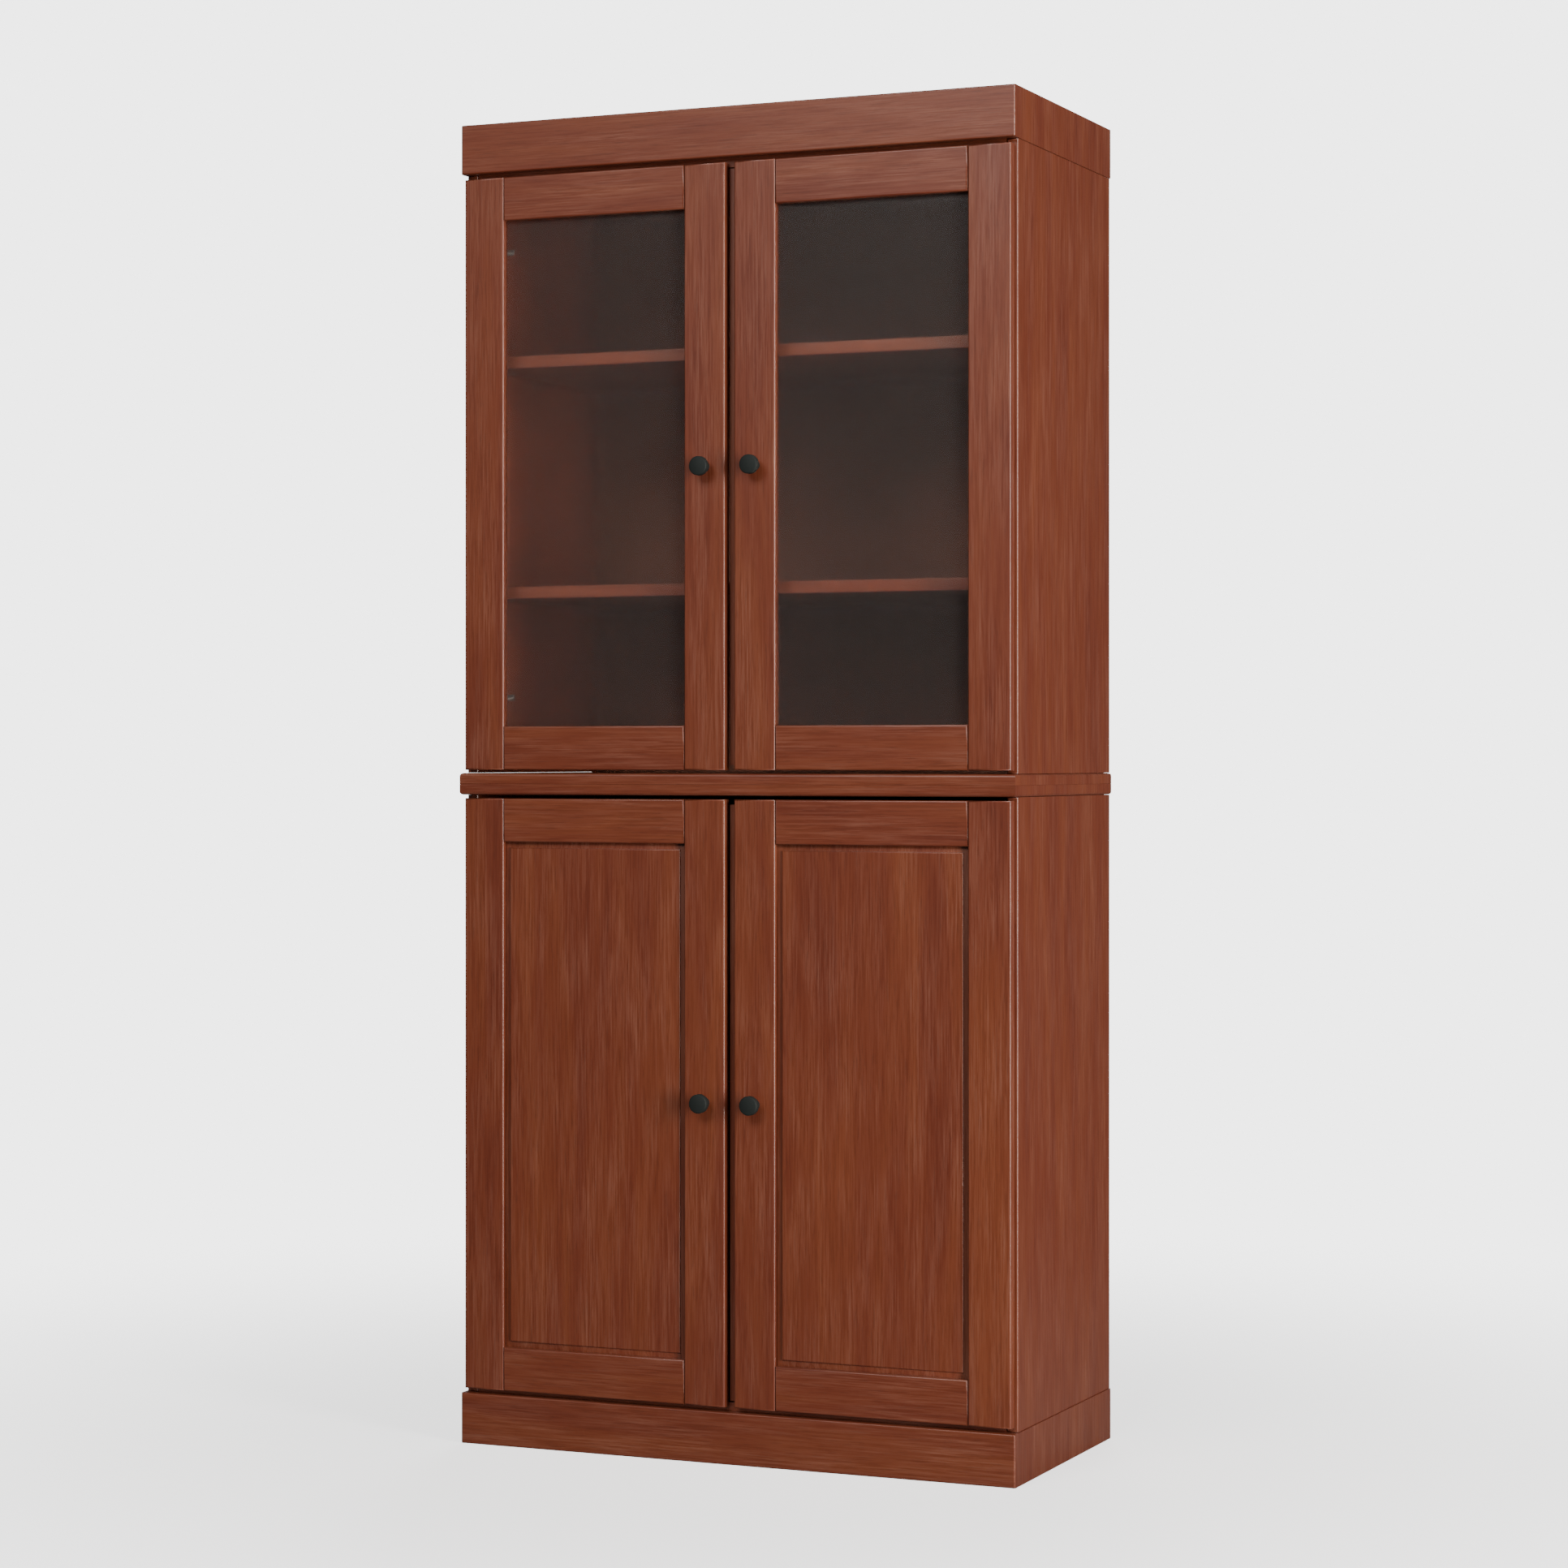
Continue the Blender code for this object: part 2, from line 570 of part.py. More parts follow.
def build():
    clear_scene()
    cherry = finish("cherry_lacquer", (0.174, 0.045, 0.022), 0.45)
    back_board = finish("back_board", (0.150, 0.040, 0.020), 0.60)
    glass = finish("frosted_glass", (0.75, 0.76, 0.76), 0.45, transmission=0.9)
    black = finish("black_metal", (0.012, 0.014, 0.014), 0.45, metallic=0.6)
    nickel = finish("nickel", (0.62, 0.61, 0.59), 0.30, metallic=1.0)

    skirt("plinth", 0, PLINTH_HEIGHT, 0, PLINTH_HEIGHT - FLOOR_STEP - GAP, cherry)
    skirt("crown", CROWN_BOTTOM, HEIGHT, CROWN_BOTTOM + TOP_STEP + GAP, HEIGHT, cherry)
    lid_inside = CROWN_WIDTH / 2 - BOARD - GAP
    lid = carved_block((-lid_inside, FRONT_Y + BOARD + GAP, HEIGHT - BOARD - 0.002),
                       (lid_inside, BACK_Y - BOARD - GAP, HEIGHT - 0.002))
    add_piece("crown_lid", lid, cherry)

    for side, label in ((-1, "left"), (1, "right")):
        lower = side_panel("lower_side_" + label, side, PLINTH_HEIGHT + GAP, BELT_BOTTOM - GAP, cherry)
        bored(lower, pin_holes(side, (LOWER_SHELF_CENTRE,)))
        upper = side_panel("upper_side_" + label, side, BELT_TOP + GAP, CROWN_BOTTOM - GAP, cherry)
        bored(upper, pin_holes(side, UPPER_SHELF_CENTRES))
    inner_board("lower_floor_board", PLINTH_HEIGHT - FLOOR_STEP, PLINTH_HEIGHT - FLOOR_STEP + BOARD, cherry)
    belt_board("lower_top_board", BELT_BOTTOM, BELT_MIDDLE - GAP / 2, cherry, BELT_BOTTOM)
    belt_board("upper_floor_board", BELT_MIDDLE + GAP / 2, BELT_TOP, cherry, BELT_TOP)
    inner_board("upper_top_board", CROWN_BOTTOM + TOP_STEP - BOARD, CROWN_BOTTOM + TOP_STEP, cherry)
    back_panel("lower_back_panel", PLINTH_HEIGHT + GAP, BELT_BOTTOM - GAP, back_board)
    back_panel("upper_back_panel", BELT_TOP + GAP, CROWN_BOTTOM - GAP, back_board)
    shelf("lower_shelf", LOWER_SHELF_CENTRE, cherry)
    shelf("upper_shelf_low", UPPER_SHELF_CENTRES[0], cherry)
    shelf("upper_shelf_high", UPPER_SHELF_CENTRES[1], cherry)

    doors = []
    for side, label in ((-1, "left"), (1, "right")):
        upper = Door("upper_" + label, side, UPPER_DOOR_BOTTOM, UPPER_DOOR_TOP)
        door_frame(upper, cherry, (REBATE_DEPTH, DOOR_THICKNESS + PAST_FACE, REBATE_WIDTH))
        pane(upper, glass)
        lower = Door("lower_" + label, side, LOWER_DOOR_BOTTOM, LOWER_DOOR_TOP)
        door_frame(lower, cherry, (TONGUE_FRONT - GAP, TONGUE_BACK + GAP, TONGUE_LENGTH + 2 * GAP))
        raised_panel(lower, cherry)
        doors += [upper, lower]
    for door in doors:
        knob(door, black)
        hinge_cup(door, nickel)
        hinge_arm(door, nickel)
        hinge_link(door, nickel)
        if door.side > 0:
            dust_strip(door, cherry)


build()
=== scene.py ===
"""A tall cherry china cabinet, dressed piece by piece in the order it is put together."""
import math

import bmesh
import bpy
import numpy as np
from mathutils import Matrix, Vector


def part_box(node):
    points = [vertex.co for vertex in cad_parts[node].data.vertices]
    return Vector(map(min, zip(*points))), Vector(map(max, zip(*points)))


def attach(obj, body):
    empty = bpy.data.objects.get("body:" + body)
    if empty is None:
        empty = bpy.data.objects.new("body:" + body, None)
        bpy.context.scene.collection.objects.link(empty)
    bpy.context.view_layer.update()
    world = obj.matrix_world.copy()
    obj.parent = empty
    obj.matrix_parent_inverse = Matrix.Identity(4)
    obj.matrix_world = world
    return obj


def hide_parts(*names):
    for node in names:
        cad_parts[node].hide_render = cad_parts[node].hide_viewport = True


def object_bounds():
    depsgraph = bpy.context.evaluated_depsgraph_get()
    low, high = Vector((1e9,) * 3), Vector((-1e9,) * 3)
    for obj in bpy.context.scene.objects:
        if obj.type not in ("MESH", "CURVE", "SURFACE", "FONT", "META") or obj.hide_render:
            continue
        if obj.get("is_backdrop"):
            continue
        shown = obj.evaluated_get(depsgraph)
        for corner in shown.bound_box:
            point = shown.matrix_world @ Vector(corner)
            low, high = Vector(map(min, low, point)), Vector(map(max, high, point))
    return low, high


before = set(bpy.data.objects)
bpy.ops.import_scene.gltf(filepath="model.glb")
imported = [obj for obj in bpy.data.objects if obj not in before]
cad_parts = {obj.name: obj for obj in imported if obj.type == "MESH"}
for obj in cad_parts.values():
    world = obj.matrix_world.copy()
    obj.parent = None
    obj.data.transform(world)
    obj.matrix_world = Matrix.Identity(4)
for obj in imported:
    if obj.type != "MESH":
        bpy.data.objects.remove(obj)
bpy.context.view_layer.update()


# The plinth: three cherry-veneered boards mitred at the front corners, with a back rail between
# them. The grain runs along the front board and upright on the sides; satin lacquer over a stain.
def noise(nodes, name, scale, detail, roughness=0.5):
    texture = nodes.new("ShaderNodeTexNoise")
    texture.name = name
    texture.inputs["Scale"].default_value = scale
    texture.inputs["Detail"].default_value = detail
    texture.inputs["Roughness"].default_value = roughness
    return texture


def colour_steps(nodes, steps):
    ramp = nodes.new("ShaderNodeValToRGB")
    elements = ramp.color_ramp.elements
    elements[0].position, elements[0].color = steps[0][0], (*steps[0][1], 1.0)
    elements[1].position, elements[1].color = steps[-1][0], (*steps[-1][1], 1.0)
    for position, colour in steps[1:-1]:
        elements.new(position).color = (*colour, 1.0)
    return ramp


def ranged(nodes, links, value, low, high, to_low, to_high):
    node = nodes.new("ShaderNodeMapRange")
    node.inputs["From Min"].default_value = low
    node.inputs["From Max"].default_value = high
    node.inputs["To Min"].default_value = to_low
    node.inputs["To Max"].default_value = to_high
    links.new(value, node.inputs["Value"])
    return node.outputs["Result"]


def worked_out(nodes, links, operation, first, second):
    """A sum or a product. Each of its two values is a socket or a plain number."""
    node = nodes.new("ShaderNodeMath")
    node.operation = operation
    for place, value in enumerate((first, second)):
        if isinstance(value, float):
            node.inputs[place].default_value = value
        else:
            links.new(value, node.inputs[place])
    return node.outputs["Value"]


def cherry_grain_group():
    """Cherry veneer whose grain runs along Z: soft bands, fine streaks and short dark pores."""
    group = bpy.data.node_groups.new("Cherry Grain", "ShaderNodeTree")
    group.interface.new_socket("Vector", in_out="INPUT", socket_type="NodeSocketVector")
    group.interface.new_socket("Color", in_out="OUTPUT", socket_type="NodeSocketColor")
    group.interface.new_socket("Roughness", in_out="OUTPUT", socket_type="NodeSocketFloat")
    group.interface.new_socket("Height", in_out="OUTPUT", socket_type="NodeSocketFloat")
    nodes, links = group.nodes, group.links
    source = nodes.new("NodeGroupInput")
    result = nodes.new("NodeGroupOutput")

    def stretched(across, along):
        scale = nodes.new("ShaderNodeVectorMath")
        scale.operation = "MULTIPLY"
        scale.inputs[1].default_value = (across, across, along)
        links.new(source.outputs["Vector"], scale.inputs[0])
        return scale.outputs["Vector"]

    bands = noise(nodes, "bands", 1.0, 3.0, 0.55)
    bands.inputs["Distortion"].default_value = 0.6
    links.new(stretched(24.0, 2.3), bands.inputs["Vector"])
    band_colour = colour_steps(nodes, [(0.30, (0.130, 0.0230, 0.0083)),
                                       (0.44, (0.149, 0.0286, 0.0099)),
                                       (0.56, (0.160, 0.0335, 0.0112)),
                                       (0.70, (0.180, 0.0410, 0.0136))])
    links.new(bands.outputs["Fac"], band_colour.inputs["Fac"])

    streaks = noise(nodes, "streaks", 1.0, 5.0, 0.70)
    streaks.inputs["Distortion"].default_value = 0.25
    links.new(stretched(380.0, 11.0), streaks.inputs["Vector"])
    patches = noise(nodes, "patches", 1.0, 2.0, 0.5)
    links.new(stretched(42.0, 7.0), patches.inputs["Vector"])
    patch_share = ranged(nodes, links, patches.outputs["Fac"], 0.36, 0.66, 0.25, 1.0)
    pores = noise(nodes, "pores", 1.0, 2.0, 0.5)
    links.new(stretched(800.0, 34.0), pores.inputs["Vector"])
    pale = nodes.new("ShaderNodeMix")
    pale.data_type = "RGBA"
    streak_share = ranged(nodes, links, streaks.outputs["Fac"], 0.42, 0.75, 0.0, 0.28)
    pale_share = worked_out(nodes, links, "MULTIPLY", streak_share, patch_share)
    links.new(pale_share, pale.inputs["Factor"])
    links.new(band_colour.outputs["Color"], pale.inputs["A"])
    pale.inputs["B"].default_value = (0.46, 0.24, 0.17, 1.0)
    streak_shade = ranged(nodes, links, streaks.outputs["Fac"], 0.25, 0.50, 0.78, 1.0)
    pore_shade = ranged(nodes, links, pores.outputs["Fac"], 0.58, 0.70, 1.0, 0.78)
    shade = worked_out(nodes, links, "MULTIPLY", streak_shade, pore_shade)
    shaded = nodes.new("ShaderNodeVectorMath")
    shaded.operation = "SCALE"
    links.new(pale.outputs["Result"], shaded.inputs[0])
    links.new(shade, shaded.inputs["Scale"])
    links.new(shaded.outputs["Vector"], result.inputs["Color"])
    links.new(ranged(nodes, links, streaks.outputs["Fac"], 0.3, 0.7, 0.46, 0.38), result.inputs["Roughness"])
    links.new(pore_shade, result.inputs["Height"])
    return group


cherry_grain = cherry_grain_group()


def fresh_material(name):
    material = bpy.data.materials.new(name)
    material.use_nodes = True
    tree = material.node_tree
    return material, tree.nodes, tree.links, tree.nodes["Principled BSDF"]


def bumped(nodes, links, shader, height, strength, distance):
    bump = nodes.new("ShaderNodeBump")
    bump.inputs["Strength"].default_value = strength
    bump.inputs["Distance"].default_value = distance
    links.new(height, bump.inputs["Height"])
    links.new(bump.outputs["Normal"], shader.inputs["Normal"])


PORE_BUMP = 0.12
PORE_DEPTH = 0.0003
LACQUER_WEIGHT = 0.62
LACQUER_ROUGHNESS = 0.27


def cherry(name, turn):
    """Lacquered cherry whose grain runs along Z before the pattern is turned."""
    material, nodes, links, shader = fresh_material(name)
    place = nodes.new("ShaderNodeTexCoord")
    board = nodes.new("ShaderNodeAttribute")
    board.attribute_name = "board_shift"
    shifted = nodes.new("ShaderNodeVectorMath")
    links.new(place.outputs["Object"], shifted.inputs[0])
    links.new(board.outputs["Vector"], shifted.inputs[1])
    turned = nodes.new("ShaderNodeMapping")
    turned.inputs["Rotation"].default_value = turn
    links.new(shifted.outputs["Vector"], turned.inputs["Vector"])
    grain = nodes.new("ShaderNodeGroup")
    grain.node_tree = cherry_grain
    links.new(turned.outputs["Vector"], grain.inputs["Vector"])
    links.new(grain.outputs["Color"], shader.inputs["Base Color"])
    links.new(grain.outputs["Roughness"], shader.inputs["Roughness"])
    bumped(nodes, links, shader, grain.outputs["Height"], PORE_BUMP, PORE_DEPTH)
    shader.inputs["Specular IOR Level"].default_value = 0.4
    shader.inputs["Coat Weight"].default_value = LACQUER_WEIGHT
    shader.inputs["Coat Roughness"].default_value = LACQUER_ROUGHNESS
    return material


QUARTER = math.radians(90)
cherry_upright = cherry("cherry_upright", (0, 0, 0))
cherry_level = cherry("cherry_level", (0, QUARTER, 0))
board_count = 0
CAD_SEAM = 0.00002
SAME_POINT = 0.000004
ON_PLANE = 0.00001
SHARP_EDGE = 0.5
CRISP = math.radians(35)
GRAIN_STEP = (0.37, 0.53, 0.71)


def fresh_mesh(node):
    """A merged copy of a CAD node's mesh, to work on."""
    mesh = bmesh.new()
    mesh.from_mesh(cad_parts[node].data)
    bmesh.ops.remove_doubles(mesh, verts=mesh.verts, dist=CAD_SEAM)
    return mesh


def outer_box(low, high):
    mesh = bmesh.new()
    bmesh.ops.create_cube(mesh, size=1.0)
    for vertex in mesh.verts:
        for axis in range(3):
            vertex.co[axis] = low[axis] if vertex.co[axis] < 0 else high[axis]
    return mesh


def round_edges(mesh, radius, chosen, segments):
    """Rounds the outward edges whose middle point passes the test."""
    picked = []
    for edge in mesh.edges:
        middle = (edge.verts[0].co + edge.verts[1].co) / 2
        outward = len(edge.link_faces) == 2 and edge.is_convex and edge.calc_face_angle() > SHARP_EDGE
        if outward and chosen(middle):
            picked.append(edge)
    bmesh.ops.bevel(mesh, geom=picked, offset=radius, segments=segments, profile=0.5, affect="EDGES",
                    clamp_overlap=True)


def standing_copy(mesh, label):
    data = bpy.data.meshes.new(label)
    mesh.to_mesh(data)
    mesh.free()
    holder = bpy.data.objects.new(label, data)
    bpy.context.scene.collection.objects.link(holder)
    return holder


def cut(stock, cutter, operation):
    """What is left of one closed mesh when another cuts it."""
    blank = standing_copy(stock, "blank")
    blade = standing_copy(cutter, "blade")
    modifier = blank.modifiers.new("cut", "BOOLEAN")
    modifier.operation = operation
    modifier.solver = "EXACT"
    modifier.object = blade
    data = bpy.data.meshes.new_from_object(blank.evaluated_get(bpy.context.evaluated_depsgraph_get()))
    result = bmesh.new()
    result.from_mesh(data)
    for holder in (blank, blade):
        mesh = holder.data
        bpy.data.objects.remove(holder)
        bpy.data.meshes.remove(mesh)
    bpy.data.meshes.remove(data)
    return result


ARRIS = 0.0024
ARRIS_STEPS = 4


def arrised(node):
    """A CAD board cut to a box whose front edges are fully rounded."""
    low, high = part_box(node)
    envelope = outer_box(low, high)
    round_edges(envelope, ARRIS, lambda at: abs(at.y - low.y) < ON_PLANE, ARRIS_STEPS)
    return cut(fresh_mesh(node), envelope, "INTERSECT")


def smoothed(mesh, name):
    """The mesh as data with soft rounds and crisp flats, and its own place in the grain."""
    global board_count
    data = bpy.data.meshes.new(name)
    bmesh.ops.remove_doubles(mesh, verts=mesh.verts, dist=SAME_POINT)
    mesh.to_mesh(data)
    mesh.free()
    data.shade_smooth()
    data.set_sharp_from_angle(angle=CRISP)
    board_count += 1
    shift = tuple(step * board_count for step in GRAIN_STEP)
    spread = data.attributes.new("board_shift", "FLOAT_VECTOR", "POINT")
    spread.data.foreach_set("vector", np.tile(shift, len(data.vertices)).astype(np.float32))
    return data


def placed(name, data, body, replaced=()):
    """Stands a finished mesh in the scene as a piece that rides on a body."""
    piece = bpy.data.objects.new(name, data)
    bpy.context.scene.collection.objects.link(piece)
    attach(piece, body)
    if replaced:
        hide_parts(*replaced)
    return piece


SIDEWAYS = 0.72


def wooden(name, mesh, body, replaced=(), grain="upright"):
    """A finished board. Its grain is upright, level, or wrapped: level, but upright on the sides."""
    data = smoothed(mesh, name)
    data.materials.append(cherry_upright if grain == "upright" else cherry_level)
    if grain == "wrapped":
        data.materials.append(cherry_upright)
        for face in data.polygons:
            if abs(face.normal.x) > SIDEWAYS:
                face.material_index = 1
    piece = placed(name, data, body, replaced)
    modifier = piece.modifiers.new("even_normals", "WEIGHTED_NORMAL")
    modifier.keep_sharp = True


CORNER_STEPS = 8
MITRE_SEAM = 0.00006
TOP_ARRIS = ARRIS * 0.9
TOP_STEPS = 3
JUST_PAST = ARRIS * 1.01


def mitred_skirt(name):
    """Front and side boards with a rounded arris at each front corner, and the back rail."""
    front_low, front_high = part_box(name + "_front")
    left_low, left_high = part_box(name + "_side_left")
    thickness = front_high.y - front_low.y
    half = -left_low.x
    inner = half - thickness
    z_low, z_high = front_low.z, front_high.z
    front_y, back_y = front_low.y, left_high.y
    corner = []
    for step in range(CORNER_STEPS + 1):
        angle = QUARTER * step / CORNER_STEPS
        corner.append((half - ARRIS + ARRIS * math.sin(angle), front_y + ARRIS - ARRIS * math.cos(angle)))
    middle = CORNER_STEPS - 1
    front_outline = [(-x, y) for x, y in reversed(corner[:middle + 1])] + corner[:middle + 1]
    front_outline += [(inner, front_y + thickness), (-inner, front_y + thickness)]
    side_outline = corner[middle:]
    side_outline += [(half, back_y), (inner, back_y), (inner, front_y + thickness + MITRE_SEAM)]

    def standing(outline):
        mesh = bmesh.new()
        foot = mesh.faces.new([mesh.verts.new((x, y, z_low)) for x, y in outline])
        raised = bmesh.ops.extrude_face_region(mesh, geom=[foot])
        lifted = [part for part in raised["geom"] if isinstance(part, bmesh.types.BMVert)]
        bmesh.ops.translate(mesh, verts=lifted, vec=(0, 0, z_high - z_low))
        bmesh.ops.recalc_face_normals(mesh, faces=mesh.faces)

        def outside(at):
            level = min(abs(at.z - z_low), abs(at.z - z_high)) < ON_PLANE
            return level and (at.y < front_y + JUST_PAST or abs(at.x) > half - JUST_PAST)

        round_edges(mesh, TOP_ARRIS, outside, TOP_STEPS)
        return mesh

    wooden(name + "_front_board", standing(front_outline), "cabinet", [name + "_front"], "level")
    for side, label in ((-1, "left"), (1, "right")):
        outline = [(side * x, y + MITRE_SEAM) for x, y in side_outline]
        wooden(name + "_" + label + "_board", standing(outline), "cabinet", [name + "_side_" + label])
    wooden(name + "_back_rail", fresh_mesh(name + "_back"), "cabinet", [name + "_back"], "level")


mitred_skirt("plinth")


# The two cases: upright cherry-veneered sides with a floor and a top glued between or across them.
# The boards where the cases meet stand proud all round as a belt with rounded outer edges.
for case in ("lower", "upper"):
    for label in ("left", "right"):
        side_node = case + "_side_" + label
        wooden(case + "_case_" + label + "_side", arrised(side_node), "cabinet", [side_node])
wooden("lower_case_floor", fresh_mesh("lower_floor_board"), "cabinet", ["lower_floor_board"], "level")
wooden("upper_case_top", fresh_mesh("upper_top_board"), "cabinet", ["upper_top_board"], "level")

BELT_CLOSING = 0.00014
BELT_ROUND = 0.0042
BELT_STEPS = 4
SEAM_ROUND = 0.0005
SEAM_STEPS = 2
BACK_MARGIN = 0.001
for belt_name, belt_node, above in (("lower_case_top", "lower_top_board", False),
                                    ("upper_case_floor", "upper_floor_board", True)):
    belt_low, belt_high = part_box(belt_node)
    if above:
        belt_low.z -= BELT_CLOSING
    else:
        belt_high.z += BELT_CLOSING
    nose = outer_box(belt_low, belt_high)
    far_z = belt_high.z if above else belt_low.z
    near_z = belt_low.z if above else belt_high.z
    back_y = belt_high.y - BACK_MARGIN
    round_edges(nose, BELT_ROUND, lambda at: abs(at.z - far_z) < ON_PLANE and at.y < back_y, BELT_STEPS)
    if above:
        round_edges(nose, SEAM_ROUND, lambda at: abs(at.z - near_z) < ON_PLANE and at.y < back_y, SEAM_STEPS)
    wooden(belt_name, nose, "cabinet", [belt_node], "wrapped")


# The crown: cherry-veneered boards mitred and glued like the plinth's, with a back rail between them.
# A lid that lies just below their edge closes it.
mitred_skirt("crown")
wooden("crown_lid_board", fresh_mesh("crown_lid"), "cabinet", ["crown_lid"], "level")


# The back panels: thin brown hardboard that lies in a rebate at the back of each case.
# A row of plated brads along each edge holds it.
def noise_in_place(nodes, links, name, scale, detail, roughness=0.5):
    """A noise that stays with the piece."""
    place = nodes.new("ShaderNodeTexCoord")
    texture = noise(nodes, name, scale, detail, roughness)
    links.new(place.outputs["Object"], texture.inputs["Vector"])
    return texture.outputs["Fac"]


FIBRE_BUMP = 0.25
FIBRE_DEPTH = 0.0002


def hardboard():
    material, nodes, links, shader = fresh_material("hardboard")
    fibres = noise_in_place(nodes, links, "fibres", 900.0, 5.0, 0.7)
    clouds = noise_in_place(nodes, links, "clouds", 9.0, 3.0)
    tint = colour_steps(nodes, [(0.3, (0.116, 0.040, 0.019)), (0.7, (0.142, 0.051, 0.025))])
    fibre_share = ranged(nodes, links, fibres, 0.3, 0.7, 0.0, 0.5)
    cloud_share = ranged(nodes, links, clouds, 0.3, 0.7, 0.0, 0.5)
    links.new(worked_out(nodes, links, "ADD", fibre_share, cloud_share), tint.inputs["Fac"])
    links.new(tint.outputs["Color"], shader.inputs["Base Color"])
    shader.inputs["Roughness"].default_value = 0.62
    bumped(nodes, links, shader, fibres, FIBRE_BUMP, FIBRE_DEPTH)
    return material


hardboard_finish = hardboard()


def empty_tree(name, sizes):
    """A geometry tree with inputs for the geometry, for each size in metres and for the material."""
    tree = bpy.data.node_groups.new(name, "GeometryNodeTree")
    tree.interface.new_socket("Geometry", in_out="INPUT", socket_type="NodeSocketGeometry")
    for label, size in sizes.items():
        socket = tree.interface.new_socket(label, in_out="INPUT", socket_type="NodeSocketFloat")
        socket.default_value = size
    tree.interface.new_socket("Finish", in_out="INPUT", socket_type="NodeSocketMaterial")
    tree.interface.new_socket("Geometry", in_out="OUTPUT", socket_type="NodeSocketGeometry")
    return tree, tree.nodes.new("NodeGroupInput")


def set_on_points(tree, given, points, shape):
    """Ends a tree: the shape stands on every point, turned as the point says, as one mesh of one finish."""
    nodes, links = tree.nodes, tree.links
    turn = nodes.new("GeometryNodeInputNamedAttribute")
    turn.data_type = "FLOAT_VECTOR"
    turn.inputs["Name"].default_value = "turn"
    copies = nodes.new("GeometryNodeInstanceOnPoints")
    links.new(points, copies.inputs["Points"])
    links.new(shape, copies.inputs["Instance"])
    links.new(turn.outputs["Attribute"], copies.inputs["Rotation"])
    real = nodes.new("GeometryNodeRealizeInstances")
    links.new(copies.outputs["Instances"], real.inputs["Geometry"])
    finish = nodes.new("GeometryNodeSetMaterial")
    links.new(real.outputs["Geometry"], finish.inputs["Geometry"])
    links.new(given.outputs["Finish"], finish.inputs["Material"])
    result = nodes.new("NodeGroupOutput")
    links.new(finish.outputs["Geometry"], result.inputs["Geometry"])
    return tree


def repeated(name, tree, places, sizes, finish, body, joined=False):
    """Runs a tree on (point, turn) pairs, joined two by two if asked, and keeps the plain mesh."""
    base = bpy.data.meshes.new(name + "_places")
    lines = [(index, index + 1) for index in range(0, len(places), 2)] if joined else []
    base.from_pydata([point for point, turn in places], lines, [])
    turns = base.attributes.new("turn", "FLOAT_VECTOR", "POINT")
    turns.data.foreach_set("vector", np.array([turn for point, turn in places], dtype=np.float32).ravel())
    holder = bpy.data.objects.new(name + "_places", base)
    bpy.context.scene.collection.objects.link(holder)
    modifier = holder.modifiers.new("repeat", "NODES")
    modifier.node_group = tree
    for item in tree.interface.items_tree:
        if item.in_out == "INPUT" and item.name in sizes:
            modifier[item.identifier] = sizes[item.name]
        if item.in_out == "INPUT" and item.name == "Finish":
            modifier[item.identifier] = finish
    data = bpy.data.meshes.new_from_object(holder.evaluated_get(bpy.context.evaluated_depsgraph_get()))
    bpy.data.objects.remove(holder)
    bpy.data.meshes.remove(base)
    data.name = name
    data.shade_smooth()
    data.set_sharp_from_angle(angle=CRISP)
    placed(name, data, body)


def plated():
    material, nodes, links, shader = fresh_material("nickel_plate")
    shader.inputs["Metallic"].default_value = 1.0
    smear = noise_in_place(nodes, links, "smear", 220.0, 3.0)
    links.new(ranged(nodes, links, smear, 0.3, 0.7, 0.50, 0.62), shader.inputs["Roughness"])
    tarnish = colour_steps(nodes, [(0.3, (0.11, 0.107, 0.10)), (0.7, (0.16, 0.155, 0.145))])
    links.new(smear, tarnish.inputs["Fac"])
    links.new(tarnish.outputs["Color"], shader.inputs["Base Color"])
    return material


nickel_plate = plated()


BRAD_FROM_EDGE = 0.005
BRAD_SPACING = 0.09
BRAD_RADIUS = 0.0018
BRAD_HEIGHT = 0.0006
BRAD_SIDES = 12


def brad_tree():
    """Brad heads at an even spacing along each line."""
    tree, given = empty_tree("Brad Rows", {"Spacing": BRAD_SPACING, "Head Radius": BRAD_RADIUS,
                                           "Head Height": BRAD_HEIGHT})
    nodes, links = tree.nodes, tree.links
    line = nodes.new("GeometryNodeMeshToCurve")
    links.new(given.outputs["Geometry"], line.inputs["Mesh"])
    evenly = nodes.new("GeometryNodeResampleCurve")
    evenly.mode = "LENGTH"
    links.new(line.outputs["Curve"], evenly.inputs["Curve"])
    links.new(given.outputs["Spacing"], evenly.inputs["Length"])
    head = nodes.new("GeometryNodeMeshCylinder")
    head.inputs["Vertices"].default_value = BRAD_SIDES
    links.new(given.outputs["Head Radius"], head.inputs["Radius"])
    links.new(given.outputs["Head Height"], head.inputs["Depth"])
    return set_on_points(tree, given, evenly.outputs["Curve"], head.outputs["Mesh"])


